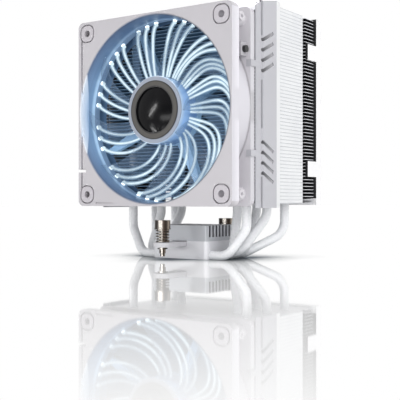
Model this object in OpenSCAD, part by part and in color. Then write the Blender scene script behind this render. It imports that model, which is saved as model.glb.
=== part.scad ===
// CPU tower cooler: direct-touch base, five U-shaped heat pipes, a fin stack,
// a lit 120 mm fan clipped to two slotted side plates and a clip-on rear air guide.
// X is the width, the fan faces -Y, +Z is up. The origin is the middle of the
// contact face under the base. All sizes are in millimetres.

/* [Base] */
// Width of the base along X
base_w = 44; // [42:1:48]
// Length of the base along Y
base_l = 37; // [36:1:42]
// Height of the grooved base plate
base_h = 11.5; // [11:0.5:14]
// Height of the finned block on top of the base plate
block_h = 10; // [9:0.5:12]

/* [Mounting] */
// Distance between the two spring screws
screw_pitch = 73; // [70:1:76]
// Width of the crossbar
bar_w = 11.5; // [10.5:0.5:13]
// Nominal thread diameter of the spring screws
screw_d = 4; // [3:0.5:4]
// Distance from the middle of the crossbar to the fan's middle plane along Y
fan_offset = 36.5; // [36:0.5:37]

/* [Heat pipes] */
// Outside diameter of a heat pipe
pipe_d = 6; // [5.8:0.1:6]
// Height of the closed pipe tips above the contact face
pipe_top = 163; // [160:1:166]

/* [Fin stack] */
// Number of fins
fin_count = 56; // [40:1:56]
// Distance from one fin to the next
fin_pitch = 2.25; // [2:0.05:2.25]
// Thickness of a fin
fin_t = 0.4; // [0.3:0.05:0.5]
// Width of the fin stack along X
fin_w = 120; // [118:0.5:120]
// Height of the lowest fin above the contact face
fin_z = 35.6; // [35:0.2:36]

/* [Fan] */
// Side of the square fan frame
fan_size = 120; // [119:0.5:120]
// Depth of the fan
fan_depth = 25; // [25:0.5:26]
// Height of the fan's lower edge above the contact face
fan_z = 34; // [33:0.5:34]
// Number of blades on the rotor
blade_count = 9; // [5:1:11]
// Radius of the blade tips
blade_r = 55.8; // [53:0.2:56]
// Number of light points in the ring
led_count = 36; // [12:12:36]

/* [Side plates] */
// Sheet thickness of a side plate
plate_t = 0.8; // [0.6:0.1:0.9]
// Number of slots in each slanted group
slot_count = 4; // [2:1:5]

/* [Air guide] */
// Depth of the rear air guide
guide_depth = 7.2; // [6:0.2:8]
// Number of guide vanes
vane_count = 6; // [4:1:7]

/* [Hidden] */
$fn = 96;

// Fan: everything is placed by its depth behind the fan's front face
front_y = -fan_offset - fan_depth / 2;
fan_cz = fan_z + fan_size / 2;
hole_r = 2.2;
hole_pitch = 105;
duct_r = 57.6;
duct_out = fan_size / 2 - 0.1;
mouth_r = 59.5;
mouth_t = 5.5;
edge_w = 1.2;
edge_t = 0.3;
flange_f = 7.6;
flange_r = 4.5;
corner_r = 4;
pad_w = 10.2;
pad_r = 4;
pad_t = 2;
pad_gap = 0.9;
lug_t = 11.4;
strut_t = 4;
strut_turn = 65;
motor_r = 21.5;
tube_r = 4.4;
tube_len = 11;
hub_r = 21.2;
hub_front = 4.4;
hub_back = 20;
cap_r = 14.2;
ring_r = 18.3;
rim_r = 20.8;
led_t = 15.6;
lens_r = 1.1;
switch_t = 17;
switch_z = 34;
switch_r = 2.1;
switch_x = 57.6;
led_groups = 12;
led_step = 7.5;
groove_w = 1.8;
groove_half = 2.4;

// Base
block_z = base_h;
bar_t = 3;
bar_z = 8.2;
pipe_r = pipe_d / 2;
pipe_z = pipe_r - 0.6;
pipe_gap = 7;

// Heat-pipe routes: base row, leg position and the two bends of each pipe
leg_in = 31;
leg_out = 45.7;
leg_x = [leg_out, leg_in, leg_out, leg_in, leg_out];
leg_y = [-9.7, 2.7, 15.2, 26.8, 38.5];
bend_x = [34, 33.2, 33.3, 34, 28];
bend_z = [19.6, 29, 27.2, 28.9, 15.8];
low_r = [9.7, 6.2, 13.9, 9.1, 9.5];
high_r = [11.2, 6.5, 14, 12.9, 12.7];
bend_steps = 8;
pipe_sides = 18;

// Fin stack, from front to back
stack_y0 = front_y + fan_depth + 1.5;
tab_y0 = stack_y0 + 4.5;
tab_y1 = tab_y0 + 55.5;
notch_y1 = tab_y1 + 6.2;
stack_y1 = stack_y0 + 78.5;
rear_half = fin_w / 2 - 1.6;
notch_half = fin_w / 2 - 4;
stack_top = fin_z + (fin_count - 1) * fin_pitch + fin_t;

// Side plate, as plan points beside the right of the stack
lip_y = front_y + fan_depth + 0.3;
step_y = front_y + 32;
flat_y = step_y + 16;
tail_y = flat_y + 6;
lip_x = fan_size / 2 + 0.2;
flat_x = lip_x + 1.2;
lip_top = 155.4;
step_top = 158.8;
plate_top = 162;
plate_bottom = 33;
slot_pitch = 6.3;
slot_w = 2.2;
slot_len = 14;
slot_tilt = 25;

// Spring screws
seat_z = bar_z + bar_t;
washer_t = 0.8;
spring_z1 = 19.4;
head_r = 5;
head_h = 5;
spring_r = 3.9;
wire_r = 0.5;
spring_turns = 5;
clip_z = bar_z - 1.4;

// ---- helpers ----

module rounded(w, h, r) {
    square([w - 2 * r, h], center = true);
    square([w, h - 2 * r], center = true);
    for (x = [-1, 1], y = [-1, 1])
        translate([x * (w / 2 - r), y * (h / 2 - r)]) circle(r);
}

// Places children on the fan's axis, with local Z running from front to back
module fan_at(depth) {
    translate([0, front_y + depth, fan_cz]) rotate([-90, 0, 0]) children();
}

module disc(r, depth0, depth1) {
    fan_at(depth0) cylinder(r = r, h = depth1 - depth0);
}

module ring(r_in, r_out, depth0, depth1) {
    fan_at(depth0) difference() {
        cylinder(r = r_out, h = depth1 - depth0);
        translate([0, 0, -1]) cylinder(r = r_in, h = depth1 - depth0 + 2);
    }
}

module at_corners(depth) {
    fan_at(depth) for (x = [-1, 1], y = [-1, 1])
        translate([x * hole_pitch / 2, y * hole_pitch / 2, 0]) children();
}

// ---- heat-pipe routes ----
// A route is a list of stations, each [centre, direction, radius].

function unit(v) = v / norm(v);
function bend_angle(a, b, c) = acos(unit(b - a) * unit(c - b));

// Stations round the arc of radius bend_r that joins the straights a-b and b-c
function bend(a, b, c, bend_r) =
    let (d1 = unit(b - a), d2 = unit(c - b), turn = bend_angle(a, b, c),
         inward = unit(d2 - (d2 * d1) * d1),
         middle = b - d1 * bend_r * tan(turn / 2) + inward * bend_r)
    [for (k = [0:bend_steps]) let (t = turn * k / bend_steps)
        [middle - inward * bend_r * cos(t) + d1 * bend_r * sin(t),
         d1 * cos(t) + inward * sin(t), pipe_r]];

// From the middle of the base out to the right-hand tip
function half_route(i) =
    let (row_y = (i - 2) * pipe_gap,
         a = [0, row_y, pipe_z],
         b = [bend_x[i], row_y, pipe_z],
         c = [leg_x[i], leg_y[i], bend_z[i]],
         d = [leg_x[i], leg_y[i], pipe_top - pipe_r])
    concat(bend(a, b, c, low_r[i]), bend(b, c, d, high_r[i]), [[d, [0, 0, 1], pipe_r]],
           [for (t = [30, 60, 85]) [d + [0, 0, pipe_r * sin(t)], [0, 0, 1], pipe_r * cos(t)]]);

function mirrored(s) = [[-s[0][0], s[0][1], s[0][2]], [s[1][0], -s[1][1], -s[1][2]], s[2]];
function full_route(h) = concat([for (k = [len(h) - 1:-1:0]) mirrored(h[k])], h);

// The points round one station, flattened where the pipe meets the contact face
function station_points(s) =
    let (u = unit(cross(s[1], [0, 1, 0])), v = cross(s[1], u))
    [for (k = [0:pipe_sides - 1]) let (t = 360 * k / pipe_sides,
        p = s[0] + s[2] * (cos(t) * u + sin(t) * v)) [p[0], p[1], max(p[2], 0)]];

module heat_pipe(i) {
    route = full_route(half_route(i));
    n = pipe_sides;
    last = (len(route) - 1) * n;
    walls = [for (s = [0:len(route) - 2], k = [0:n - 1])
        [s * n + k, s * n + (k + 1) % n, (s + 1) * n + (k + 1) % n, (s + 1) * n + k]];
    caps = [[for (k = [n - 1:-1:0]) k], [for (k = [0:n - 1]) last + k]];
    color("gainsboro")
        polyhedron([for (s = route) each station_points(s)], concat(walls, caps), convexity = 8);
}

// ---- base ----

module base_plate() {
    color("gainsboro") difference() {
        linear_extrude(base_h) rounded(base_w, base_l, 3);
        for (i = [0:4]) translate([-base_w / 2 - 1, (i - 2) * pipe_gap, pipe_z])
            rotate([0, 90, 0]) cylinder(r = pipe_r + 0.03, h = base_w + 2);
        translate([-bar_w / 2 - 0.1, -base_l / 2 - 1, bar_z - 0.02])
            cube([bar_w + 0.2, base_l + 2, base_h]);
        block_screw_sites(6.2) cylinder(r = 1.5, h = base_h);
    }
}

module block_screw_sites(z) {
    site_x = 15;
    site_y = 11.4;
    for (x = [-1, 1], y = [-1, 1]) translate([x * site_x, y * site_y, z]) children();
}

module base_block() {
    rib_pitch = 3.8;
    rib_gap = 1.7;
    color("gainsboro") difference() {
        translate([0, 0, block_z]) linear_extrude(block_h) rounded(base_w - 1, base_l - 1, 2);
        for (i = [-4:4]) translate([-base_w, i * rib_pitch - rib_gap / 2, block_z + 2.6])
            cube([base_w * 2, rib_gap, block_h]);
        block_screw_sites(block_z + 3.2) cylinder(r = 3.1, h = block_h);
        block_screw_sites(block_z - 1) cylinder(r = 1.6, h = block_h);
    }
}

module block_screws() {
    color("silver") block_screw_sites(block_z + 3.2) difference() {
        union() {
            cylinder(r = 2.8, h = 2);
            translate([0, 0, -8]) cylinder(r = 1.48, h = 8.5);
        }
        for (a = [0, 90]) rotate(a) translate([-1.6, -0.4, 1]) cube([3.2, 0.8, 2]);
    }
}

// Bar across the base plate, with a rounded ear at each end for a spring screw
module crossbar() {
    half = screw_pitch / 2;
    color("lightgray") difference() {
        translate([0, 0, bar_z]) linear_extrude(bar_t) {
            square([bar_w, screw_pitch], center = true);
            for (y = [-half, half]) translate([0, y]) circle(bar_w / 2);
        }
        for (y = [-half, half]) translate([0, y, 0]) cylinder(r = screw_d / 2 + 0.06, h = base_h);
    }
}

module screw_at(side) {
    translate([0, side * screw_pitch / 2, 0]) children();
}

module spring_screw() {
    shank_r = screw_d / 2;
    color("silver") difference() {
        union() {
            translate([0, 0, 2.5]) cylinder(r = shank_r - 0.5, h = 2);
            translate([0, 0, 4.4]) cylinder(r = shank_r, h = clip_z - 4.4 + 0.2);
            translate([0, 0, clip_z + 0.2]) cylinder(r = shank_r - 0.4, h = 0.8);
            translate([0, 0, clip_z + 1]) cylinder(r = shank_r, h = spring_z1 - clip_z);
            translate([0, 0, spring_z1 + washer_t]) cylinder(r = head_r, h = head_h);
        }
        for (a = [0, 90]) rotate(a)
            translate([-3, -0.6, spring_z1 + washer_t + head_h - 2]) cube([6, 1.2, 3]);
    }
}

module spring_washer() {
    color("silver") translate([0, 0, spring_z1]) difference() {
        cylinder(r = head_r + 0.2, h = washer_t);
        translate([0, 0, -1]) cylinder(r = screw_d / 2 + 0.05, h = washer_t + 2);
    }
}

// Close-coiled spring, each turn a ring of wire
module screw_spring() {
    rise = spring_z1 - seat_z;
    step = (rise - 2 * wire_r - 0.04) / spring_turns;
    color("silver") for (k = [0:spring_turns])
        translate([0, 0, seat_z + wire_r + 0.02 + k * step])
            rotate_extrude() translate([spring_r, 0]) circle(wire_r, $fn = 24);
    color("silver") translate([0, 0, seat_z + wire_r]) difference() {
        cylinder(r = spring_r - 0.2, h = rise - 2 * wire_r);
        translate([0, 0, -1]) cylinder(r = spring_r - 0.6, h = rise + 1);
    }
}

// Open ring that keeps the screw in the crossbar
module retaining_clip() {
    color("dimgray") translate([0, 0, clip_z + 0.25]) difference() {
        cylinder(r = 3.2, h = 0.7);
        translate([0, 0, -1]) cylinder(r = screw_d / 2 - 0.38, h = 3);
        translate([0, -0.9, -1]) cube([5, 1.8, 3]);
    }
}

// ---- fin stack ----

module fin_profile() {
    half = fin_w / 2;
    difference() {
        polygon([[-half, stack_y0], [half, stack_y0], [half, tab_y1],
                 [notch_half, tab_y1], [notch_half, notch_y1],
                 [rear_half, notch_y1], [rear_half, stack_y1],
                 [-rear_half, stack_y1], [-rear_half, notch_y1],
                 [-notch_half, notch_y1], [-notch_half, tab_y1], [-half, tab_y1]]);
        for (i = [0:4], s = [-1, 1]) translate([s * leg_x[i], leg_y[i]]) circle(pipe_r + 0.04);
    }
}

module fins() {
    tab_h = fin_pitch - fin_t - 0.06;
    color("whitesmoke") for (k = [0:fin_count - 1]) translate([0, 0, fin_z + k * fin_pitch]) {
        linear_extrude(fin_t) fin_profile();
        if (k > 0) for (s = [0, 1]) mirror([s, 0, 0])
            translate([fin_w / 2 - fin_t, tab_y0, -tab_h]) cube([fin_t, tab_y1 - tab_y0, tab_h + 0.1]);
    }
}

// ---- side plates ----

module plate_plan() {
    polygon([[lip_x, lip_y], [lip_x + plate_t, lip_y],
             [lip_x + plate_t, step_y - 0.6], [flat_x + plate_t, step_y],
             [flat_x + plate_t, flat_y], [lip_x + plate_t + 0.2, tail_y],
             [lip_x + 0.2, tail_y], [flat_x, flat_y - 0.2],
             [flat_x, step_y + plate_t], [lip_x, step_y]]);
}

module plate_slot(z, tilt) {
    translate([lip_x - 1, step_y - 0.7, z]) rotate([tilt, 0, 0])
        translate([0, 0, -slot_w / 2]) cube([6, slot_len, slot_w]);
}

// Slits along the fold between the two facets, above, between and below the slots
module fold_slits() {
    for (span = [[138.2, plate_top + 1], [81.5, 111], [plate_bottom - 1, 52]])
        translate([lip_x - 1, step_y - 1, span[0]]) cube([6, 0.8, span[1] - span[0]]);
}

// What is cut away above the plate's rising top edge
module top_cut() {
    translate([lip_x - 1, 0, 0]) rotate([90, 0, 90]) linear_extrude(6)
        polygon([[lip_y - 1, lip_top - 0.5], [step_y, step_top], [flat_y, plate_top],
                 [flat_y, plate_top + 9], [lip_y - 1, plate_top + 9]]);
}

// Hooks that reach over the front of the fan's rear flange
module plate_hooks() {
    hook_y = front_y + fan_depth - flange_r - 1;
    hook_h = 4;
    reach = 2.6;
    for (z = [fan_z + 30, fan_z + fan_size - 36])
        translate([lip_x - reach, hook_y, z]) {
            cube([reach + plate_t, plate_t, hook_h]);
            translate([reach, 0, 0]) cube([plate_t, lip_y - hook_y + 0.1, hook_h]);
        }
}

module side_plate() {
    color("silver") {
        difference() {
            translate([0, 0, plate_bottom]) linear_extrude(plate_top - plate_bottom) plate_plan();
            top_cut();
            for (k = [0:slot_count - 1]) {
                plate_slot(fan_cz + 22.2 + k * slot_pitch, slot_tilt);
                plate_slot(fan_cz - 20.6 - k * slot_pitch, -slot_tilt);
            }
            fold_slits();
        }
        plate_hooks();
    }
}

// ---- fan frame ----

module fan_frame() {
    r = duct_out;
    color("gainsboro") {
        difference() {
            union() {
                fan_at(0) linear_extrude(flange_f) rounded(fan_size, fan_size, corner_r);
                fan_at(fan_depth - flange_r) linear_extrude(flange_r)
                    rounded(fan_size, fan_size, corner_r);
                disc(r, 0, fan_depth);
                at_corners(flange_f - 0.1) cylinder(r = 4.2, h = fan_depth - flange_f - flange_r + 0.2);
                corner_lugs();
            }
            fan_at(0) rotate_extrude() duct_profile();
            at_corners(-1) cylinder(r = hole_r, h = fan_depth + 2);
            at_corners(-1) linear_extrude(pad_t + 1.02)
                rounded(pad_w + 2 * pad_gap, pad_w + 2 * pad_gap, pad_r + pad_gap);
            cable_channel();
        }
        disc_with_bore();
        struts();
    }
}

// Half section of the air passage: bevelled mouth, cone, and the groove for the light ring
module duct_profile() {
    groove_r = duct_r + groove_w;
    polygon([[0, -1], [mouth_r, -1], [mouth_r, 0], [mouth_r - edge_w, edge_t], [duct_r, mouth_t],
             [duct_r, led_t - groove_half], [groove_r, led_t - groove_half],
             [groove_r, led_t + groove_half], [duct_r, led_t + groove_half],
             [duct_r, fan_depth + 1], [0, fan_depth + 1]]);
}

// Round lugs on the frame's sides, level with the corner holes
module corner_lugs() {
    for (s = [-1, 1], z = [-1, 1])
        translate([s * hole_pitch / 2, front_y + lug_t, fan_cz + z * hole_pitch / 2])
            rotate([0, s * 90, 0]) difference() {
                cylinder(r = 2.8, h = fan_size / 2 - hole_pitch / 2 - 0.3);
                translate([0, 0, 5]) cylinder(r = 1.2, h = 5);
            }
}

// Channel and notch for the fan's lead, on the left of the front face
module cable_channel() {
    translate([-57.8, front_y - 1, fan_z + 10.5]) cube([1.3, 2.6, 97.6]);
    translate([-fan_size / 2 - 1, front_y - 1, fan_z + 22]) cube([7.5, flange_f + 2, 1.9]);
    translate([-45, front_y - 1, fan_z + 1.6]) cube([15, 1.8, 0.8]);
}

// Motor disc with the tube that holds the bearing
module disc_with_bore() {
    difference() {
        union() {
            disc(motor_r, fan_depth - strut_t, fan_depth);
            disc(tube_r, fan_depth - strut_t - tube_len, fan_depth - strut_t + 0.1);
        }
        disc(3.05, fan_depth - strut_t - tube_len - 1, fan_depth - 1.2);
    }
}

// Four struts that taper from the motor disc to the duct wall
module struts() {
    inner_half = 4;
    outer_half = 1.8;
    for (k = [0:3]) fan_at(fan_depth - strut_t) rotate(strut_turn + k * 90)
        linear_extrude(strut_t)
            polygon([[motor_r - 1, -inner_half], [duct_r + 0.5, -outer_half],
                     [duct_r + 0.5, outer_half], [motor_r - 1, inner_half]]);
}

module corner_pads() {
    color("silver") at_corners(0) difference() {
        linear_extrude(pad_t) rounded(pad_w, pad_w, pad_r);
        translate([0, 0, -1]) cylinder(r = hole_r, h = pad_t + 2);
    }
}

module lead_grommet() {
    color("white") translate([-fan_size / 2 + 0.5, front_y + flange_f + 0.1, fan_z + 20]) difference() {
        cube([5, 6, 4]);
        translate([-1, 3, 2]) rotate([0, 90, 0]) cylinder(r = 1.3, h = 8);
    }
}

module light_ring() {
    color("azure") difference() {
        ring(duct_r - 0.1, duct_r + groove_w - 0.1, led_t - groove_half + 0.1,
             led_t + groove_half - 0.1);
        fan_at(led_t) for (k = [0:led_count - 1]) rotate(led_angle(k))
            rotate([0, 90, 0]) translate([0, 0, duct_r - 2]) cylinder(r = lens_r + 0.04, h = 6);
    }
}

// Light points sit in threes, spread evenly round the ring
function led_angle(k) = let (share = 360 / led_groups)
    share / 2 + floor(k / 3) * share + (k % 3 - 1) * led_step;

module leds() {
    color("white") fan_at(led_t) for (k = [0:led_count - 1]) rotate(led_angle(k))
        rotate([0, 90, 0]) translate([0, 0, duct_r - 0.6]) cylinder(r = lens_r, h = 2.2);
}

// Children at the light switch, with local Z pointing out of the fan's right side
module at_switch(x) {
    translate([x, front_y + switch_t, fan_cz + switch_z]) rotate([0, 90, 0]) children();
}

module switch_housing() {
    half_z = 4;
    half_y = 3.5;
    low = switch_z - half_z;
    x0 = sqrt(duct_out * duct_out - low * low) + 0.2;
    color("silver") difference() {
        translate([x0, front_y + switch_t - half_y, fan_cz + low])
            cube([switch_x - x0, 2 * half_y - 0.1, 2 * half_z]);
        at_switch(switch_x - 4) cylinder(r = switch_r + 0.04, h = 8);
    }
}

module led_button() {
    button_len = 4.6;
    color("dimgray") at_switch(switch_x - 2.6) cylinder(r = switch_r, h = button_len);
}

// ---- motor ----

// Laminated core with four T-shaped poles
module stator_core() {
    core_t0 = 10.5;
    core_len = 7;
    pole_half = 34;
    color("dimgray") {
        ring(tube_r + 0.05, 7.4, core_t0, core_t0 + core_len);
        for (a = [0:90:270]) fan_at(core_t0) rotate(a) {
            translate([6.8, -1.6, 0]) cube([8, 3.2, core_len]);
            difference() {
                cylinder(r = 15.6, h = core_len);
                translate([0, 0, -1]) cylinder(r = 14, h = core_len + 2);
                for (m = [0, 1]) mirror([0, m, 0]) rotate(pole_half)
                    translate([-40, 0, -1]) cube([80, 40, core_len + 2]);
                translate([-40, -40, -1]) cube([40, 80, core_len + 2]);
            }
        }
    }
}

// One winding round the neck of each pole
module stator_coils() {
    color("chocolate") for (a = [0:90:270]) fan_at(9.6) rotate(a) difference() {
        translate([8.2, -3.4, 0]) cube([5.2, 6.8, 8.8]);
        translate([7, -1.65, 0.85]) cube([8, 3.3, 7.1]);
    }
}

module circuit_board() {
    color("seagreen") ring(tube_r + 0.05, 17, 18.6, 20);
}

module bearing_sleeve() {
    color("goldenrod") ring(1.53, 3, fan_depth - strut_t - tube_len + 0.2, 22);
}

module shaft_clip() {
    color("silver") ring(1.1, 2.8, 22.3, 22.9);
}

module rotor_shaft() {
    color("silver") {
        disc(1.5, 6.2, 22.2);
        disc(1.05, 22.1, 23.4);
    }
}

module shaft_boss() {
    color("goldenrod") ring(1.5, 3.4, 6.2, 9.6);
}

module rotor_yoke() {
    color("lightslategray") {
        ring(18.5, 19.5, 6.6, 18);
        ring(3.45, 19.5, 6.3, 7.2);
    }
}

module magnet_ring() {
    color("darkslategray") ring(16.4, 18.45, 8, 17.8);
}

module rotor_hub() {
    color("lightsteelblue") {
        ring(19.55, hub_r, hub_front, hub_back);
        disc(hub_r, hub_front, 6.15);
    }
}

// One cambered blade: a curved sheet whose chord is pitched across the duct
module blade() {
    camber_r = 34;
    thick = 1.3;
    pitch = 38;
    intersection() {
        difference() {
            cylinder(r = blade_r, h = 30);
            translate([0, 0, -1]) cylinder(r = hub_r - 0.6, h = 32);
        }
        translate([hub_r - 2, 0, 12.4]) rotate([pitch, 0, 0]) translate([0, 0, -camber_r])
            rotate([0, 90, 0]) intersection() {
                difference() {
                    cylinder(r = camber_r + thick / 2, h = 40);
                    translate([0, 0, -1]) cylinder(r = camber_r - thick / 2, h = 42);
                }
                translate([-50, -10.5, 0]) cube([50, 21, 40]);
            }
    }
}

module fan_blades() {
    color("lightsteelblue") difference() {
        fan_at(0) for (k = [0:blade_count - 1]) rotate(k * 360 / blade_count) blade();
        fan_at(-1) cylinder(r = hub_r + 0.01, h = fan_depth + 2);
    }
}

// Slightly domed cover on the middle of the rotor
module hub_cap() {
    dome_r = 60;
    rise = 1.6;
    edge = asin(cap_r / dome_r);
    color("black") fan_at(hub_front - rise) rotate_extrude()
        polygon(concat([for (t = [0:edge / 8:edge]) [dome_r * sin(t), dome_r * (1 - cos(t))]],
                       [[cap_r, rise], [0, rise]]));
}

module hub_ring() {
    color("dimgray") ring(cap_r + 0.1, ring_r, hub_front - 0.9, hub_front);
}

module hub_rim() {
    color("gainsboro") ring(ring_r + 0.05, rim_r, hub_front - 0.6, hub_front);
}

// ---- air guide ----

module air_guide_frame() {
    y0 = stack_y1 + 0.3;
    half = fin_w / 2 + 0.4;
    wall = 1.6;
    bottom = fin_z - 1;
    height = stack_top + 1 - bottom;
    tab_h = 10.4;
    screen_w = 11;
    color("white") {
        difference() {
            translate([-half, y0, bottom]) cube([2 * half, guide_depth, height]);
            translate([-half + wall, y0 - 1, bottom + wall])
                cube([2 * (half - wall), guide_depth + 2, height - 2 * wall]);
        }
        // Screens behind the open rear corners of the fins
        for (s = [0, 1]) mirror([s, 0, 0]) translate([half - wall - screen_w, y0, bottom])
            cube([screen_w + 0.1, 0.5, height]);
        for (s = [0, 1], z = [fan_cz - 40.5, fan_cz + 37.8]) mirror([s, 0, 0])
            translate([rear_half + 0.2, notch_y1 + 0.4, z])
                cube([half - rear_half - 0.2, y0 - notch_y1 + 0.1, tab_h]);
    }
}

module air_guide_vanes() {
    y0 = stack_y1 + 0.9;
    half = fin_w / 2 - 1.25;
    step = (stack_top - fin_z) / (vane_count + 1);
    color("white") for (k = [1:vane_count])
        translate([-half, y0, fin_z + k * step]) rotate([-18, 0, 0])
            cube([2 * half, guide_depth - 1.6, 1.2]);
}

base_plate();
base_block();
block_screws();
crossbar();
heat_pipe(0);  // heat_pipe_1
heat_pipe(1);  // heat_pipe_2
heat_pipe(2);  // heat_pipe_3
heat_pipe(3);  // heat_pipe_4
heat_pipe(4);  // heat_pipe_5
fins();
side_plate();  // side_plate_right
mirror([1, 0, 0]) side_plate();  // side_plate_left
screw_at(-1) spring_screw();  // front_screw
screw_at(-1) spring_washer();  // front_washer
screw_at(-1) screw_spring();  // front_spring
screw_at(-1) retaining_clip();  // front_clip
screw_at(1) spring_screw();  // rear_screw
screw_at(1) spring_washer();  // rear_washer
screw_at(1) screw_spring();  // rear_spring
screw_at(1) retaining_clip();  // rear_clip
fan_frame();
corner_pads();
lead_grommet();
light_ring();
leds();
switch_housing();
led_button();
stator_core();
stator_coils();
circuit_board();
bearing_sleeve();
shaft_clip();
rotor_hub();
fan_blades();
hub_cap();
hub_ring();
hub_rim();
rotor_yoke();
magnet_ring();
shaft_boss();
rotor_shaft();
air_guide_frame();
air_guide_vanes();
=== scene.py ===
import math

import bmesh
import bpy
from mathutils import Matrix, Quaternion, Vector


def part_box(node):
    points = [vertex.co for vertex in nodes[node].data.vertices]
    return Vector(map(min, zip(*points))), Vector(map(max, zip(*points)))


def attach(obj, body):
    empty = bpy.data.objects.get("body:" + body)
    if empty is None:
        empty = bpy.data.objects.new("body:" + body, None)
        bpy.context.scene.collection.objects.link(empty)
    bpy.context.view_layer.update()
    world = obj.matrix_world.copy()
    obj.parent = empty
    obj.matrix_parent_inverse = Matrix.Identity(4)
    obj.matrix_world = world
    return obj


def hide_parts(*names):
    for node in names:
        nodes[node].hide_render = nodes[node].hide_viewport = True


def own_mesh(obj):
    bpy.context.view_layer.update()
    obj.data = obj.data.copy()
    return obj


MM = 0.001
CAMERA_YAW = math.radians(34.85)
CAMERA_PLACE = (0.3228, -0.4588, 0.0379)

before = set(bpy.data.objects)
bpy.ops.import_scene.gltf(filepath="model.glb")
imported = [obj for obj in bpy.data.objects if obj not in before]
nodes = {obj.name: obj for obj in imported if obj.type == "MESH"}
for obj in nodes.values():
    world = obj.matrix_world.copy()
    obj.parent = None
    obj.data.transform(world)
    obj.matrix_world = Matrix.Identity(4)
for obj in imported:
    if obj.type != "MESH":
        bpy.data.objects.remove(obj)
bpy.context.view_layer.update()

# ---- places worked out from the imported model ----

def span(name, axis):
    """Where a CAD node starts and ends along one axis."""
    low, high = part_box(name)
    return low[axis], high[axis]


def half(name, axis):
    low, high = span(name, axis)
    return (high - low) / 2


FAN_FRONT, fan_back = span("fan_frame", 1)
FAN_DEPTH = fan_back - FAN_FRONT
FAN_Z = sum(span("fan_frame", 2)) / 2
HUB_R = half("rotor_hub", 0)
HUB_FRONT = span("rotor_hub", 1)[0] - FAN_FRONT
BLADE_R = half("fan_blades", 2)
BLADE_FRONT, BLADE_BACK = (edge - FAN_FRONT for edge in span("fan_blades", 1))
LED_DEPTH = sum(span("leds", 1)) / 2 - FAN_FRONT
LED_R = half("leds", 2) - 1.2 * MM
FIN_BOTTOM, FIN_TOP = span("fins", 2)
STACK_BOTTOM, STACK_TOP = FIN_BOTTOM - FAN_Z, FIN_TOP - FAN_Z
OPEN_REAR = span("fins", 1)[1] - FAN_FRONT - 18.6 * MM

# Where the looks change: depths from the fan's front, radii and X from its axis
FIN_PITCH = 2.25 * MM   # from one fin to the next
FOOT_H = 3.4 * MM       # the pale band under the stack's open rear
TAB_FACE = 59.85 * MM   # the outer face of the fins' tabs
PLATE_END = 52 * MM     # the rear end of the side plates
LIT_R = 58 * MM         # the fan's light falls inside this radius
DUCT_R = 59.75 * MM     # the duct's mouth
STRUT_R = 57 * MM       # the struts and the motor disc lie inside this radius
GLINT_DEPTH = 7.5 * MM  # the pale glint's greatest depth
GLINT_HALF = 26 * MM    # and half its height
EDGE = 0.1 * MM         # the usual width of the step from one look to the next


def fan_point(radius, degrees, depth):
    """A point by its radius, its angle (clockwise from the top, seen from the front) and depth."""
    a = math.radians(degrees)
    return Vector((radius * math.sin(a), FAN_FRONT + depth, FAN_Z + radius * math.cos(a)))


# ---- materials ----

def new_material(name):
    mat = bpy.data.materials.new(name)
    mat.use_nodes = True
    tree = mat.node_tree
    return mat, tree.nodes, tree.links, tree.nodes["Principled BSDF"]


def set_inputs(shader, **values):
    for key, value in values.items():
        shader.inputs[key.replace("_", " ")].default_value = value


def noise(nodes_, links, scale, detail=3.0, stretch=(1, 1, 1)):
    """A noise in object coordinates, stretched along chosen axes."""
    coords = nodes_.new("ShaderNodeTexCoord")
    mapping = nodes_.new("ShaderNodeMapping")
    mapping.inputs["Scale"].default_value = stretch
    tex = nodes_.new("ShaderNodeTexNoise")
    tex.inputs["Scale"].default_value = scale
    tex.inputs["Detail"].default_value = detail
    links.new(coords.outputs["Object"], mapping.inputs["Vector"])
    links.new(mapping.outputs["Vector"], tex.inputs["Vector"])
    return tex


def ramp(nodes_, links, source, low, high, start=0.35, stop=0.65):
    node = nodes_.new("ShaderNodeValToRGB")
    node.color_ramp.elements[0].position = start
    node.color_ramp.elements[1].position = stop
    node.color_ramp.elements[0].color = (*low, 1)
    node.color_ramp.elements[1].color = (*high, 1)
    links.new(source, node.inputs["Fac"])
    return node


def add_bump(nodes_, links, shader, source, strength, distance):
    bump = nodes_.new("ShaderNodeBump")
    bump.inputs["Strength"].default_value = strength
    bump.inputs["Distance"].default_value = distance
    links.new(source, bump.inputs["Height"])
    links.new(bump.outputs["Normal"], shader.inputs["Normal"])


def rough_range(nodes_, links, shader, source, low, high):
    spread = nodes_.new("ShaderNodeMapRange")
    spread.inputs["To Min"].default_value = low
    spread.inputs["To Max"].default_value = high
    links.new(source, spread.inputs["Value"])
    links.new(spread.outputs["Result"], shader.inputs["Roughness"])


def coated(name, color, rough=0.4, spread=0.06, grain=900.0, bump=0.15, coat=0.0, metallic=0.0,
           stretch=(1, 1, 1), specular=0.5):
    """Painted, coated or moulded surface: fine grain, slight tone and gloss variation."""
    mat, nd, ln, bsdf = new_material(name)
    tone = noise(nd, ln, 14.0, 4.0)
    low = tuple(c * (1 - spread) for c in color)
    high = tuple(min(1, c * (1 + spread)) for c in color)
    ln.new(ramp(nd, ln, tone.outputs["Fac"], low, high).outputs["Color"], bsdf.inputs["Base Color"])
    fine = noise(nd, ln, grain, 2.0, stretch)
    rough_range(nd, ln, bsdf, fine.outputs["Fac"], rough - 0.06, rough + 0.06)
    add_bump(nd, ln, bsdf, fine.outputs["Fac"], bump, 0.00005)
    set_inputs(bsdf, Metallic=metallic, Coat_Weight=coat, Coat_Roughness=0.15,
               Specular_IOR_Level=specular)
    return mat


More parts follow.
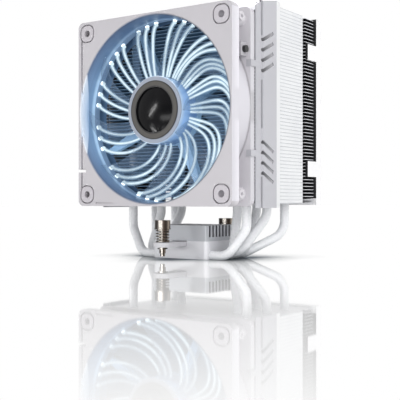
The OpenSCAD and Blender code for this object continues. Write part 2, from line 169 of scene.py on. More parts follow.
def glowing(name, color, strength, alpha=1.0, core=None):
    """Glowing piece: lit clear plastic, or a painted reflection of the light points; its glow
    varies a little along the piece.
    """
    mat, nd, ln, bsdf = new_material(name)
    tone = noise(nd, ln, 160.0, 2.0)
    low = tuple(c * 0.86 for c in color)
    ln.new(ramp(nd, ln, tone.outputs["Fac"], low, color).outputs["Color"],
           bsdf.inputs["Emission Color"])
    set_inputs(bsdf, Base_Color=(*(core or color), 1), Roughness=0.3,
               Emission_Strength=strength, Alpha=alpha)
    return mat


def calc(nodes_, links, operation, *values):
    """A maths node; each value is a number or another node's output."""
    node = nodes_.new("ShaderNodeMath")
    node.operation = operation
    for slot, value in zip(node.inputs, values):
        if isinstance(value, (int, float)):
            slot.default_value = value
        else:
            links.new(value, slot)
    return node.outputs["Value"]


def share_of(nodes_, links, source, start, stop):
    """0 at start, 1 at stop, clamped."""
    node = nodes_.new("ShaderNodeMapRange")
    node.inputs["From Min"].default_value = start
    node.inputs["From Max"].default_value = stop
    links.new(source, node.inputs["Value"])
    return node.outputs["Result"]


def mix_color(nodes_, links, factor, first, second, blend="MIX"):
    node = nodes_.new("ShaderNodeMix")
    node.data_type = "RGBA"
    node.blend_type = blend
    for slot, value in (("Factor", factor), ("A", first), ("B", second)):
        if isinstance(value, (int, float)):
            node.inputs[slot].default_value = value
        elif isinstance(value, tuple):
            node.inputs[slot].default_value = (*value, 1)
        else:
            links.new(value, node.inputs[slot])
    return node.outputs["Result"]


def color_stops(nodes_, links, source, stops):
    """A colour ramp through (position, colour) stops."""
    node = nodes_.new("ShaderNodeValToRGB")
    elements = node.color_ramp.elements
    for element, (place, color) in zip(elements, (stops[0], stops[-1])):
        element.position, element.color = place, (*color, 1)
    for place, color in stops[1:-1]:
        elements.new(place).color = (*color, 1)
    links.new(source, node.inputs["Fac"])
    return node.outputs["Color"]


def split_vector(nodes_, links, source):
    split = nodes_.new("ShaderNodeSeparateXYZ")
    links.new(source, split.inputs["Vector"])
    return split.outputs


def facing(nodes_, links):
    """X, Y and Z of the face's own normal."""
    geo = nodes_.new("ShaderNodeNewGeometry")
    return split_vector(nodes_, links, geo.outputs["True Normal"])


def model_place(nodes_, links):
    """X, Y and Z in the shared frame."""
    coords = nodes_.new("ShaderNodeTexCoord")
    return split_vector(nodes_, links, coords.outputs["Object"])


def opened(mat):
    """A finished material's nodes, links and shader, and what colours it so far."""
    nd, ln = mat.node_tree.nodes, mat.node_tree.links
    bsdf = nd["Principled BSDF"]
    return nd, ln, bsdf, bsdf.inputs["Base Color"].links[0].from_socket


def fan_place(nodes_, links):
    """Radius from the fan's axis, depth behind its front, height above its axis, and X."""
    place = model_place(nodes_, links)
    across = place["X"]
    height = calc(nodes_, links, "SUBTRACT", place["Z"], FAN_Z)
    depth = calc(nodes_, links, "SUBTRACT", place["Y"], FAN_FRONT)
    radius = calc(nodes_, links, "SQRT", calc(nodes_, links, "ADD",
                  calc(nodes_, links, "MULTIPLY", across, across),
                  calc(nodes_, links, "MULTIPLY", height, height)))
    return radius, depth, height, across


def fin_material():
    """White fins: bright edges and tabs, painted shade on the faces in the stack, painted blue
    light behind the fan.
    """
    mat, nd, ln, bsdf = new_material("fin_coat")
    radius, depth, height, across = fan_place(nd, ln)
    normal = facing(nd, ln)
    flat = share_of(nd, ln, calc(nd, ln, "ABSOLUTE", normal["Z"]), 0.4, 0.6)
    sideways = share_of(nd, ln, calc(nd, ln, "ABSOLUTE", normal["X"]), 0.4, 0.6)
    open_rear = share_of(nd, ln, depth, OPEN_REAR - 2 * EDGE, OPEN_REAR + 2 * EDGE)

    # Edges and tabs, with a faint seam where each tab meets the next fin
    edge = mix_color(nd, ln, open_rear, (0.68, 0.69, 0.70), (0.62, 0.62, 0.64))
    level = calc(nd, ln, "FRACT", calc(nd, ln, "DIVIDE",
                 calc(nd, ln, "SUBTRACT", height, STACK_BOTTOM), FIN_PITCH))
    seam = color_stops(nd, ln, level, [(0.0, (0.74, 0.75, 0.77)), (0.16, (0.80, 0.81, 0.83)),
                                       (0.24, (1, 1, 1)), (0.9, (1, 1, 1)),
                                       (1.0, (0.82, 0.83, 0.84))])
    seamed = mix_color(nd, ln, sideways, edge, mix_color(nd, ln, 1.0, edge, seam, "MULTIPLY"))

    # Painted shade: the faces between the fins are dark, but not the top of the first fin or the
    # foot of the last
    foot = STACK_BOTTOM + FOOT_H
    above_foot = share_of(nd, ln, height, foot, foot + EDGE)
    deep = calc(nd, ln, "MAXIMUM", calc(nd, ln, "MULTIPLY", open_rear, above_foot),
                share_of(nd, ln, radius, LIT_R + 3 * MM, LIT_R + 2 * MM))
    inner = calc(nd, ln, "MULTIPLY",
                 share_of(nd, ln, height, STACK_TOP, STACK_TOP - 2 * EDGE),
                 share_of(nd, ln, height, STACK_BOTTOM, STACK_BOTTOM + 2 * EDGE))
    deep = calc(nd, ln, "MULTIPLY", deep, inner)
    face = mix_color(nd, ln, deep, (0.7, 0.7, 0.72), (0.018, 0.02, 0.026))
    plain = mix_color(nd, ln, flat, seamed, face)

    # Painted blue light behind the fan, and painted shade on the tabs under the side plates
    behind = calc(nd, ln, "MULTIPLY", share_of(nd, ln, depth, 36 * MM, 29 * MM),
                  share_of(nd, ln, radius, LIT_R + 0.5 * MM, LIT_R - 0.5 * MM))
    tinted = mix_color(nd, ln, 1.0, plain, (0.24, 0.33, 0.44), "MULTIPLY")
    tone = noise(nd, ln, 60.0, 3.0)
    worn = ramp(nd, ln, tone.outputs["Fac"], (0.95, 0.95, 0.96), (1, 1, 1))
    outermost = share_of(nd, ln, calc(nd, ln, "ABSOLUTE", across), TAB_FACE - EDGE / 2,
                         TAB_FACE + EDGE / 2)
    covered = calc(nd, ln, "MULTIPLY", outermost,
                   share_of(nd, ln, depth, PLATE_END + 4 * EDGE, PLATE_END - 4 * EDGE))
    shown = mix_color(nd, ln, covered, mix_color(nd, ln, behind, plain, tinted),
                      (0.03, 0.03, 0.034))
    ln.new(mix_color(nd, ln, 1.0, shown, worn.outputs["Color"], "MULTIPLY"),
           bsdf.inputs["Base Color"])

    # Painted light that reaches each part: behind the fan, over the top, the rear edges, the slots
    glow = mix_color(nd, ln, behind, (0, 0, 0), (0.018, 0.038, 0.068))
    over = calc(nd, ln, "MULTIPLY", share_of(nd, ln, height, 59 * MM, 59.5 * MM),
                share_of(nd, ln, depth, 50 * MM, 44 * MM))
    glow = mix_color(nd, ln, over, glow, (0.55, 0.55, 0.56))
    stripe = calc(nd, ln, "MULTIPLY", open_rear, calc(nd, ln, "SUBTRACT", 1.0, flat))
    glow = mix_color(nd, ln, stripe, glow, (0.16, 0.16, 0.165))
    shaded = mix_color(nd, ln, share_of(nd, ln, depth, 35 * MM, 48 * MM), (0.08, 0.08, 0.085),
                       (0.46, 0.46, 0.48))
    ln.new(mix_color(nd, ln, covered, glow, shaded), bsdf.inputs["Emission Color"])
    set_inputs(bsdf, Emission_Strength=1.0)
    rough_range(nd, ln, bsdf, tone.outputs["Fac"], 0.32, 0.5)
    return mat


def frame_material():
    """Pale satin plastic, painted steel blue inside the duct where the light ring shines on it."""
    mat = coated("fan_plastic", (0.43, 0.415, 0.44), 0.38, 0.03, 1600, 0.2)
    nd, ln, bsdf, plain = opened(mat)
    radius, depth, height, across = fan_place(nd, ln)
    inside = calc(nd, ln, "MULTIPLY", share_of(nd, ln, radius, DUCT_R, DUCT_R - 0.35 * MM),
                  share_of(nd, ln, depth, 0.02 * MM, 0.3 * MM))

    # The duct wall's painted ring light from front to back, with painted shade at the top and the
    # bottom and a painted dark reflection on the bevel
    wall = color_stops(nd, ln, share_of(nd, ln, depth, 0, FAN_DEPTH),
                       [(0.0, (0.10, 0.14, 0.22)), (0.10, (0.12, 0.19, 0.31)),
                        (0.38, (0.15, 0.25, 0.40)), (0.45, (0.36, 0.52, 0.70)),
                        (0.53, (0.36, 0.52, 0.70)), (0.60, (0.04, 0.075, 0.13)),
                        (0.80, (0.04, 0.075, 0.13)), (1.0, (0.10, 0.17, 0.28))])
    ends = share_of(nd, ln, calc(nd, ln, "ABSOLUTE", height), 22 * MM, 52 * MM)
    dimming = mix_color(nd, ln, ends, (1, 1, 1), (0.55, 0.57, 0.62))
    wall = mix_color(nd, ln, 1.0, wall, dimming, "MULTIPLY")
    bevel = calc(nd, ln, "MULTIPLY", share_of(nd, ln, depth, 0.45 * MM, 0.25 * MM),
                 share_of(nd, ln, across, -10 * MM, 20 * MM))
    wall = mix_color(nd, ln, bevel, wall, (0.025, 0.04, 0.065))

    # A pale glint on the left of the mouth, deepest at the fan's mid height
    rise = calc(nd, ln, "DIVIDE", height, GLINT_HALF)
    fall = calc(nd, ln, "SUBTRACT", 1.0, calc(nd, ln, "MULTIPLY", rise, rise))
    reach = calc(nd, ln, "MULTIPLY", fall, GLINT_DEPTH)
    lit = calc(nd, ln, "MULTIPLY",
               share_of(nd, ln, calc(nd, ln, "SUBTRACT", reach, depth), -0.3 * MM, 0.5 * MM),
               share_of(nd, ln, across, -40 * MM, -48 * MM))
    glint = mix_color(nd, ln, share_of(nd, ln, depth, 0, GLINT_DEPTH), (0.74, 0.78, 0.84),
                      (0.34, 0.50, 0.72))

    # The struts and the motor disc in painted light of the ring, brighter below the hub
    strut = share_of(nd, ln, radius, STRUT_R, STRUT_R - MM)
    low = share_of(nd, ln, height, 10 * MM, -10 * MM)
    strut_color = mix_color(nd, ln, low, (0.10, 0.17, 0.27), (0.24, 0.38, 0.58))
    inner = mix_color(nd, ln, strut, mix_color(nd, ln, lit, wall, glint), strut_color)

    # Painted light: the right side's faces and the flanges' edges are paler than the front
    sideways = calc(nd, ln, "MULTIPLY", share_of(nd, ln, facing(nd, ln)["X"], 0.3, 0.6),
                    share_of(nd, ln, radius, 75 * MM, 62 * MM))
    sides = mix_color(nd, ln, share_of(nd, ln, depth, 19 * MM, 20.5 * MM), (0.56, 0.55, 0.59),
                      (0.44, 0.435, 0.46))
    flange = share_of(nd, ln, calc(nd, ln, "ABSOLUTE", across), 59.9 * MM, 59.95 * MM)
    outer = mix_color(nd, ln, calc(nd, ln, "MAXIMUM", sideways, flange), plain, sides)
    ln.new(mix_color(nd, ln, inside, outer, inner), bsdf.inputs["Base Color"])

    # Painted glow of the plastic where the ring lights it, and painted light between the two
    # flanges on the right
    strut_glow = mix_color(nd, ln, low, (0.08, 0.14, 0.20), (0.28, 0.46, 0.62))
    inner_glow = mix_color(nd, ln, strut, mix_color(nd, ln, lit, wall, (0.02, 0.03, 0.04)), strut_glow)
    recess = calc(nd, ln, "MULTIPLY", share_of(nd, ln, radius, 60.5 * MM, 61 * MM),
                  calc(nd, ln, "MULTIPLY", share_of(nd, ln, depth, 1 * MM, 8 * MM),
                       share_of(nd, ln, across, -30 * MM, 0)))
    lifted = mix_color(nd, ln, recess, (0, 0, 0), (0.38, 0.375, 0.40))
    ln.new(mix_color(nd, ln, inside, lifted, inner_glow), bsdf.inputs["Emission Color"])
    set_inputs(bsdf, Emission_Strength=0.35)
    return mat


def guide_material():
    """White clip-on guide; above its pale foot, painted shade darkens the screens behind the fins.
    """
    mat = coated("guide_plastic", (0.78, 0.78, 0.79), 0.4, 0.02, 1600, 0.15)
    nd, ln, bsdf, plain = opened(mat)
    foot = FIN_BOTTOM + FOOT_H
    forward = calc(nd, ln, "MULTIPLY", share_of(nd, ln, facing(nd, ln)["Y"], -0.5, -0.7),
                   share_of(nd, ln, model_place(nd, ln)["Z"], foot, foot + EDGE))
    ln.new(mix_color(nd, ln, forward, plain, (0.02, 0.02, 0.022)), bsdf.inputs["Base Color"])
    return mat


def plate_material():
    """Coated sheet, with painted light making the rear facet that turns back to the fins paler."""
    mat = coated("plate_coat", (0.42, 0.42, 0.45), 0.42, 0.03, 1500, 0.12)
    nd, ln, bsdf, plain = opened(mat)
    tail = share_of(nd, ln, facing(nd, ln)["Y"], 0.05, 0.12)
    ln.new(mix_color(nd, ln, tail, plain, (0.66, 0.67, 0.68)), bsdf.inputs["Base Color"])
    return mat


def block_material():
    """Machined block with painted shade inside its slots."""
    mat = coated("block_metal", (0.47, 0.485, 0.515), 0.33, 0.04, 400, 0.25, metallic=0.15,
                 stretch=(0.05, 1, 1))
    nd, ln, bsdf, plain = opened(mat)
    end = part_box("base_block")[1][1]
    slot_wall = calc(nd, ln, "MULTIPLY",
                     share_of(nd, ln, calc(nd, ln, "ABSOLUTE", facing(nd, ln)["Y"]), 0.6, 0.8),
                     share_of(nd, ln, calc(nd, ln, "ABSOLUTE", model_place(nd, ln)["Y"]),
                              end - 3 * EDGE, end - 6 * EDGE))
    ln.new(mix_color(nd, ln, slot_wall, plain, (0.13, 0.132, 0.145)), bsdf.inputs["Base Color"])
    return mat


def hub_ring_material():
    """Olive ring with a black line at its inner and outer edges."""
    mat = coated("ring_olive", (0.045, 0.041, 0.035), 0.45, 0.12, 1200, 0.2)
    nd, ln, bsdf, plain = opened(mat)
    radius = fan_place(nd, ln)[0]
    line = color_stops(nd, ln, share_of(nd, ln, radius, HUB_R * 0.66, HUB_R * 0.87),
                       [(0.0, (0.02, 0.02, 0.02)), (0.16, (0.02, 0.02, 0.02)), (0.3, (1, 1, 1)),
                        (0.78, (1, 1, 1)), (0.86, (0.03, 0.03, 0.03)), (1.0, (0.03, 0.03, 0.03))])
    ln.new(mix_color(nd, ln, 1.0, plain, line, "MULTIPLY"), bsdf.inputs["Base Color"])
    return mat


def banded_metal(name, color):
    """Bright plated metal with painted reflections of a dark and light room in upright bands."""
    mat, nd, ln, bsdf = new_material(name)
    normal = split_vector(nd, ln, nd.new("ShaderNodeTexCoord").outputs["Normal"])
    across = calc(nd, ln, "ADD", calc(nd, ln, "MULTIPLY", normal["X"], 0.82),
                  calc(nd, ln, "MULTIPLY", normal["Y"], 0.57))
    bands = color_stops(nd, ln, share_of(nd, ln, across, -1, 1),
                        [(0.0, (0.02, 0.017, 0.015)), (0.2, (0.05, 0.04, 0.034)), (0.32, color),
                         (0.46, color), (0.56, (0.12, 0.09, 0.07)), (0.75, (0.06, 0.045, 0.035)),
                         (0.88, (0.4, 0.34, 0.28)), (1.0, (0.1, 0.08, 0.07))])
    tone = noise(nd, ln, 900.0, 3.0)
    worn = ramp(nd, ln, tone.outputs["Fac"], (0.8, 0.79, 0.78), (1, 1, 1))
    ln.new(mix_color(nd, ln, 1.0, bands, worn.outputs["Color"], "MULTIPLY"),
           bsdf.inputs["Base Color"])
    rough_range(nd, ln, bsdf, tone.outputs["Fac"], 0.12, 0.26)
    add_bump(nd, ln, bsdf, tone.outputs["Fac"], 0.1, 0.00003)
    set_inputs(bsdf, Metallic=0.85)
    return mat


def metal(name, color, rough=0.2, grain=500.0, stretch=(1, 1, 1), bump=0.1):
    """Bare metal with a fine grain."""
    mat, nd, ln, bsdf = new_material(name)
    tone = noise(nd, ln, grain, 3.0, stretch)
    low = tuple(c * 0.82 for c in color)
    ln.new(ramp(nd, ln, tone.outputs["Fac"], low, color).outputs["Color"],
           bsdf.inputs["Base Color"])
    rough_range(nd, ln, bsdf, tone.outputs["Fac"], rough * 0.7, rough * 1.4)
    add_bump(nd, ln, bsdf, tone.outputs["Fac"], bump, 0.00003)
    set_inputs(bsdf, Metallic=1.0)
    return mat


def clear_blue(name, color, alpha, glow):
    """Tinted clear plastic with a painted glow of the light from the rim."""
    mat, nd, ln, bsdf = new_material(name)
    tone = noise(nd, ln, 35.0, 3.0)
    low = tuple(c * 0.8 for c in color)
    ramped = ramp(nd, ln, tone.outputs["Fac"], low, color)
    ln.new(ramped.outputs["Color"], bsdf.inputs["Base Color"])
    ln.new(ramped.outputs["Color"], bsdf.inputs["Emission Color"])
    set_inputs(bsdf, Roughness=0.12, Alpha=alpha, Emission_Strength=glow, IOR=1.49)
    return mat


def hub_material():
    """Clear blue hub that glows with painted light: pale at the front edge, deeper behind, painted
    shade under the cap.
    """
    mat = clear_blue("hub_clear", (1.0, 1.0, 1.0), 1.0, 0.3)
    nd, ln, bsdf, uneven = opened(mat)
    radius, depth = fan_place(nd, ln)[:2]
    side = color_stops(nd, ln, share_of(nd, ln, depth, HUB_FRONT, HUB_FRONT + 16 * MM),
                       [(0.0, (0.42, 0.55, 0.72)), (0.2, (0.26, 0.42, 0.68)),
                        (0.6, (0.15, 0.27, 0.50)), (1.0, (0.13, 0.24, 0.46))])
    edge = share_of(nd, ln, radius, HUB_R - 8 * EDGE, HUB_R - 4 * EDGE)
    shade = mix_color(nd, ln, edge, (0.015, 0.015, 0.017),
                      mix_color(nd, ln, 1.0, side, uneven, "MULTIPLY"))
    ln.new(shade, bsdf.inputs["Base Color"])
    ln.new(shade, bsdf.inputs["Emission Color"])
    return mat


M = {
    "fin": fin_material(),
    "pipe": coated("pipe_coat", (0.74, 0.75, 0.77), 0.28, 0.03, 700, 0.08, coat=0.4),
    "plate": plate_material(),
    "frame": frame_material(),
    "pad": coated("pad_plastic", (0.44, 0.42, 0.45), 0.5, 0.03, 1800, 0.2),
    "base": coated("base_metal", (0.70, 0.70, 0.73), 0.33, 0.04, 400, 0.25, metallic=0.15,
                   stretch=(0.05, 1, 1)),
    "block": block_material(),
    "bar": coated("bar_coat", (0.50, 0.495, 0.52), 0.4, 0.04, 900, 0.15),
    "nickel": banded_metal("nickel", (0.68, 0.64, 0.59)),
    "steel": metal("core_steel", (0.38, 0.38, 0.40), 0.35, 800, (1, 8, 1)),
    "bronze": metal("bronze", (0.62, 0.46, 0.25), 0.3),
    "copper": metal("coil_copper", (0.66, 0.30, 0.14), 0.3, 1500, (1, 12, 1), 0.5),
    "board": coated("board_green", (0.03, 0.14, 0.07), 0.4, 0.2, 700, 0.1),
    "magnet": coated("magnet_black", (0.03, 0.03, 0.033), 0.7, 0.2, 1200, 0.3),
    "rubber": coated("grommet_rubber", (0.7, 0.7, 0.71), 0.7, 0.04, 1500, 0.3),
    "black": coated("cap_black", (0.005, 0.005, 0.006), 0.14, 0.3, 900, 0.03, specular=0.14),
    "button": coated("button_plastic", (0.02, 0.02, 0.022), 0.45, 0.2, 1500, 0.2),
    "olive": hub_ring_material(),
    "rim": coated("rim_grey", (0.23, 0.265, 0.335), 0.35, 0.05, 1200, 0.15),
    "guide": guide_material(),
    "switch": coated("switch_plastic", (0.42, 0.41, 0.44), 0.5, 0.04, 1600, 0.2),
    "ring": glowing("ring_clear", (0.16, 0.24, 0.36), 0.35),
    "led": glowing("led_lens", (0.86, 0.97, 0.97), 1.6),
    # Glowing tubes that paint the reflections of the light points in the turning blades
    "trail": glowing("light_trail", (0.78, 0.93, 0.96), 1.1, core=(0.3, 0.3, 0.3)),
    "halo": glowing("trail_halo", (0.38, 0.55, 0.70), 0.8, alpha=0.40, core=(0.1, 0.12, 0.15)),
    "hub": hub_material(),
    "blade": clear_blue("rotor_clear", (0.12, 0.20, 0.32), 0.22, 0.14),
}

CAD_LOOKS = {
    "base_plate": "base", "base_block": "block", "block_screws": "nickel", "crossbar": "bar",
    "fins": "fin", "side_plate_right": "plate", "side_plate_left": "plate",
    "fan_frame": "frame", "corner_pads": "pad", "lead_grommet": "rubber", "light_ring": "ring",
    "leds": "led", "switch_housing": "switch", "led_button": "button", "stator_core": "steel",
    "stator_coils": "copper", "circuit_board": "board", "bearing_sleeve": "bronze",
    "shaft_clip": "nickel", "rotor_hub": "hub", "fan_blades": "blade", "hub_cap": "black",
    "hub_ring": "olive", "hub_rim": "rim", "rotor_yoke": "steel", "magnet_ring": "magnet",
    "shaft_boss": "bronze", "rotor_shaft": "nickel", "air_guide_frame": "guide",
    "air_guide_vanes": "guide",
}
for end in ("front", "rear"):
    for piece in ("screw", "washer", "spring", "clip"):
        CAD_LOOKS[f"{end}_{piece}"] = "nickel"
for k in range(1, 6):
    CAD_LOOKS[f"heat_pipe_{k}"] = "pipe"

for name, look in CAD_LOOKS.items():
    materials = nodes[name].data.materials
    materials.clear()
    materials.append(M[look])


# ---- pieces made here ----

def mesh_piece(name, bm, material):
    """A smooth-shaded object from a finished mesh."""
    for face in bm.faces:
        face.smooth = True
    mesh = bpy.data.meshes.new(name)
    bm.to_mesh(mesh)
    bm.free()
    obj = bpy.data.objects.new(name, mesh)
    obj.data.materials.append(material)
    bpy.context.scene.collection.objects.link(obj)
    return obj


def skin(bm, rings):
    """Closes a row of equal rings of points into one solid."""
    count = len(rings[0])
    for a, b in zip(rings, rings[1:]):
        for k in range(count):
            bm.faces.new((a[k], a[(k + 1) % count], b[(k + 1) % count], b[k]))
    bm.faces.new(reversed(rings[0]))
    bm.faces.new(rings[-1])


def ring_of(bm, middle, radius, u, v, sides):
    """A ring of points round a line, in the plane of u and v."""
    turns = (2 * math.pi * k / sides for k in range(sides))
    return [bm.verts.new(middle + radius * (math.cos(a) * u + math.sin(a) * v)) for a in turns]


def heading(line, i):
    """The direction of a line of points at one of them."""
    return (line[min(i + 1, len(line) - 1)] - line[max(i - 1, 0)]).normalized()


def tube_piece(name, lines, radius, material, sides, taper):
    """One mesh of round tubes along the given lines of points."""
    bm = bmesh.new()
    for line in lines:
        rings = []
        for i, p in enumerate(line):
            along = heading(line, i)
            u = along.cross(Vector((0, 1, 0))).normalized()
            share = i / (len(line) - 1)
            rings.append(ring_of(bm, p, radius * taper(share), u, along.cross(u), sides))
        skin(bm, rings)
    return mesh_piece(name, bm, material)


GROUPS = 12
GROUP_STEP = 360 / GROUPS
FIRST_GROUP = 15
LED_STEP = 7.5
LED_ANGLES = [FIRST_GROUP + GROUP_STEP * group + LED_STEP * step
              for group in range(GROUPS) for step in (-1, 0, 1)]

# How far each group's trails turn on their way to the hub, and how late they bend,
# for the groups at 15, 45 ... 345 degrees
TRAIL_TURN = (7, 20, 27, 38.5, 45.5, 55, 63, 51, 29, 13.5, 9, 8.5)
TRAIL_BEND = (1.1, 1.3, 3.8, 6.0, 8.0, 4.5, 1.4, 1.25, 1.0, 1.0, 1.1, 1.1)
TRAIL_STEPS = 36
TRAIL_DEPTH = 13 * MM
TRAIL_HALF = 0.68 * MM
HALO_HALF = 1.35 * MM


def between_groups(values, angle):
    """Interpolates a per-group value at any angle round the fan."""
    place = (angle - FIRST_GROUP) / GROUP_STEP
    group = math.floor(place)
    part = place - group
    return values[group % GROUPS] * (1 - part) + values[(group + 1) % GROUPS] * part


def trail(angle):
    """The curved line of light that the turning blades draw from one light point to the hub,
    glowing as a painted reflection of the light point in the blades.
    """
    turn, bend = between_groups(TRAIL_TURN, angle), between_groups(TRAIL_BEND, angle)
    outer, inner = LED_R - 1.4 * MM, HUB_R + 0.3 * MM
    points = []
    for k in range(TRAIL_STEPS + 1):
        s = 1 - (k / TRAIL_STEPS) ** 1.5
        depth = TRAIL_DEPTH + (LED_DEPTH - TRAIL_DEPTH) * s ** 12
        points.append(fan_point(inner + (outer - inner) * s, angle - turn * (1 - s ** bend), depth))
    return points


def make_trails():
    # Painted reflections: glowing tubes and halos along the trails of the light points in the
    # turning blades
    lines = [trail(a) for a in LED_ANGLES]
    core = tube_piece("light_trails", lines, TRAIL_HALF, M["trail"], 8,
                      lambda u: 1.0 - 0.2 * u + 1.2 * math.exp(-u / 0.03))
    halo = tube_piece("trail_halos", lines, HALO_HALF, M["halo"], 10, lambda u: 1.1 - 0.3 * u)
    for obj in (core, halo):
        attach(obj, "rotor")


def make_led_domes():
    """A small lens on each light point, proud of the duct wall."""
    bm = bmesh.new()
    for angle in LED_ANGLES:
        spot = Matrix.Translation(fan_point(LED_R - 0.1 * MM, angle, LED_DEPTH))
        bmesh.ops.create_icosphere(bm, subdivisions=2, radius=1.4 * MM, matrix=spot)
    domes = mesh_piece("led_domes", bm, M["led"])
    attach(domes, "cooler")


BLADES = 9
CHORD_STEPS = 12
SPAN_STEPS = 10
SWEEP = 22


def blade_section(bm, u, start):
    """One ring of points round the blade's section, a share u of the way to the tip."""
    radius = HUB_R - 0.3 * MM + (BLADE_R - HUB_R) * u
    middle = (BLADE_FRONT + BLADE_BACK) / 2
    pitch = math.radians(52 - 22 * u)
    chord = min((21 + 9 * u) * MM, (BLADE_BACK - BLADE_FRONT - 1.4 * MM) / math.sin(pitch))
    stacked = start + SWEEP * u ** 1.3
    upper, lower = [], []
    for k in range(CHORD_STEPS + 1):
        s = k / CHORD_STEPS
        along = (s - 0.5) * chord
        camber = 0.11 * chord * math.sin(math.pi * s)
        half = (0.25 + 0.5 * math.sin(math.pi * s) ** 0.6) * MM * (1.15 - 0.4 * u)
        for side, points in ((1, upper), (-1, lower)):
            across = camber + side * half
            turn = along * math.cos(pitch) + across * math.sin(pitch)
            depth = middle + along * math.sin(pitch) - across * math.cos(pitch)
            degrees = stacked - math.degrees(turn / radius)
            points.append(bm.verts.new(fan_point(radius, degrees, depth)))
    return upper + lower[::-1]


def make_blades():
    bm = bmesh.new()
    for k in range(BLADES):
        skin(bm, [blade_section(bm, i / SPAN_STEPS, k * 360 / BLADES)
                  for i in range(SPAN_STEPS + 1)])
    bmesh.ops.recalc_face_normals(bm, faces=bm.faces)
    blades = mesh_piece("rotor_blades", bm, M["blade"])
    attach(blades, "rotor")
    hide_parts("fan_blades")


SPRING_TURNS = 5.5
SPRING_STEPS = 132
FLAT_TURNS = 0.75
WIRE_R = 0.55 * MM


def make_spring(end):
    """A real coil with flat ends in place of the stacked rings."""
    low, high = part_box(f"{end}_spring")
    y, tall = (low[1] + high[1]) / 2, high[2] - low[2]
    radius = (high[0] - low[0]) / 2 - WIRE_R
    line = []
    for k in range(SPRING_STEPS + 1):
        turned = k / SPRING_STEPS * SPRING_TURNS
        rise = min(max((turned - FLAT_TURNS) / (SPRING_TURNS - 2 * FLAT_TURNS), 0), 1)
        a = 2 * math.pi * turned
        line.append(Vector((radius * math.cos(a), y + radius * math.sin(a),
                            low[2] + WIRE_R + rise * (tall - 2 * WIRE_R))))
    bm = bmesh.new()
    rings = []
    for i, p in enumerate(line):
        out = Vector((p.x, p.y - y, 0)).normalized()
        rings.append(ring_of(bm, p, WIRE_R, out, out.cross(heading(line, i)), 10))
    skin(bm, rings)
    bmesh.ops.recalc_face_normals(bm, faces=bm.faces)
    coil = mesh_piece(f"{end}_coil", bm, M["nickel"])
    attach(coil, "cooler")
    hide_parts(f"{end}_spring")
    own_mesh(coil)


make_trails()
make_led_domes()
make_blades()
make_spring("front")
make_spring("rear")


# ---- floor, light and camera ----

CONTACT_REACH = 32 * MM
MIRROR_FAR = 0.66
MIRROR_LOSS = 0.54


def make_floor():
    """White glossy floor: a soft contact shadow, and a reflection that fades towards the camera."""
    bpy.ops.mesh.primitive_plane_add(size=8, location=(0, 0, 0))
    floor = bpy.context.object
    floor.name = "floor"
    mat, nd, ln, bsdf = new_material("floor_gloss")
    nearby = nd.new("ShaderNodeAmbientOcclusion")
    nearby.samples = 12
    nearby.inputs["Distance"].default_value = CONTACT_REACH
    shade = color_stops(nd, ln, nearby.outputs["AO"],
                        [(0.0, (0.08, 0.09, 0.10)), (0.5, (0.16, 0.18, 0.20)),
                         (0.78, (0.62, 0.63, 0.64)), (0.98, (1, 1, 1))])
    ln.new(shade, bsdf.inputs["Emission Color"])
    set_inputs(bsdf, Base_Color=(0, 0, 0, 1), Roughness=1.0, Specular_IOR_Level=0.0,
               Emission_Strength=1.0)
    mirror = nd.new("ShaderNodeBsdfAnisotropic")
    mirror.inputs["Roughness"].default_value = 0.03
    ln.new(shade, mirror.inputs["Color"])
    geo = nd.new("ShaderNodeNewGeometry")
    reach = nd.new("ShaderNodeVectorMath")
    reach.operation = "DISTANCE"
    reach.inputs[1].default_value = (*CAMERA_PLACE[:2], 0)
    ln.new(geo.outputs["Position"], reach.inputs[0])
    # One over the distance changes evenly down the picture, so the reflection fades evenly
    near = share_of(nd, ln, calc(nd, ln, "DIVIDE", 1.0, reach.outputs["Value"]), 1.9, 6.2)
    fade = calc(nd, ln, "SUBTRACT", MIRROR_FAR, calc(nd, ln, "MULTIPLY", near, MIRROR_LOSS))
    blend = nd.new("ShaderNodeMixShader")
    ln.new(fade, blend.inputs["Fac"])
    ln.new(bsdf.outputs["BSDF"], blend.inputs[1])
    ln.new(mirror.outputs["BSDF"], blend.inputs[2])
    ln.new(blend.outputs["Shader"], nd["Material Output"].inputs["Surface"])
    floor.data.materials.append(mat)


def area_light(name, place, target, size, power, tilt=0):
    """A rectangular lamp aimed at the target; the camera itself does not see it."""
    data = bpy.data.lights.new(name, "AREA")
    data.shape = "RECTANGLE"
    data.size, data.size_y = size
    data.energy = power
    obj = bpy.data.objects.new(name, data)
    bpy.context.scene.collection.objects.link(obj)
    obj.location = place
    aim = Vector(target) - Vector(place)
    turned = aim.to_track_quat("-Z", "Y") @ Quaternion((0, 0, 1), math.radians(tilt))
    obj.rotation_euler = turned.to_euler()
    obj.visible_camera = False


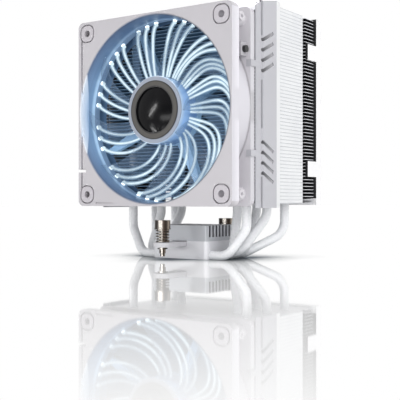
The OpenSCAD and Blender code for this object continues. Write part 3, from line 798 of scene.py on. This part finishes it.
def make_world():
    """White studio: the backdrop is white, and the side behind the camera is dimmer."""
    world = bpy.data.worlds.new("studio")
    bpy.context.scene.world = world
    world.use_nodes = True
    nd, ln = world.node_tree.nodes, world.node_tree.links
    back = nd["Background"]
    coords = nd.new("ShaderNodeTexCoord")
    toward = nd.new("ShaderNodeVectorMath")
    toward.operation = "DOT_PRODUCT"
    toward.inputs[1].default_value = (-math.sin(CAMERA_YAW), math.cos(CAMERA_YAW), 0.35)
    ln.new(coords.outputs["Generated"], toward.inputs[0])
    level = nd.new("ShaderNodeMapRange")
    level.inputs["From Min"].default_value = -0.55
    level.inputs["From Max"].default_value = 0.25
    level.inputs["To Min"].default_value = 0.28
    level.inputs["To Max"].default_value = 1.0
    ln.new(toward.outputs["Value"], level.inputs["Value"])
    path = nd.new("ShaderNodeLightPath")
    seen = nd.new("ShaderNodeMath")
    seen.operation = "MAXIMUM"
    ln.new(path.outputs["Is Camera Ray"], seen.inputs[0])
    ln.new(level.outputs["Result"], seen.inputs[1])
    ln.new(seen.outputs["Value"], back.inputs["Strength"])
    back.inputs["Color"].default_value = (1, 1, 1, 1)


def make_light():
    """Large soft lamps round the cooler, and a narrow one that shows in the cap."""
    make_world()
    side = (0.05, 0, 0.09)
    area_light("key", (0.9, -0.25, 0.55), side, (0.7, 0.7), 5)
    area_light("fill", (0.48, -0.52, 0.25), side, (0.4, 0.4), 1.15)
    area_light("front", (-0.45, -1.1, 0.75), (0, 0, 0.09), (0.7, 0.9), 0.5)
    area_light("top", (0.1, 0.1, 1.3), (0, 0, 0), (1.2, 1.2), 2)
    area_light("low", (0.02, -0.5, 0.06), (0, 0, 0.02), (0.5, 0.05), 0.5)
    area_light("cap_glint", (-0.62, -0.83, 0.2), (0, -0.045, FAN_Z), (0.014, 0.26), 1.2, tilt=-40)


def make_camera():
    """The camera stands low, to the right of the fan, and looks level."""
    cam = bpy.data.cameras.new("camera")
    cam.lens = 75.8
    cam.sensor_width = 36
    obj = bpy.data.objects.new("camera", cam)
    obj.location = CAMERA_PLACE
    obj.rotation_euler = (math.radians(90), 0, CAMERA_YAW)
    bpy.context.scene.collection.objects.link(obj)
    bpy.context.scene.camera = obj


bpy.context.scene.view_settings.view_transform = "Standard"
make_floor()
make_light()
make_camera()
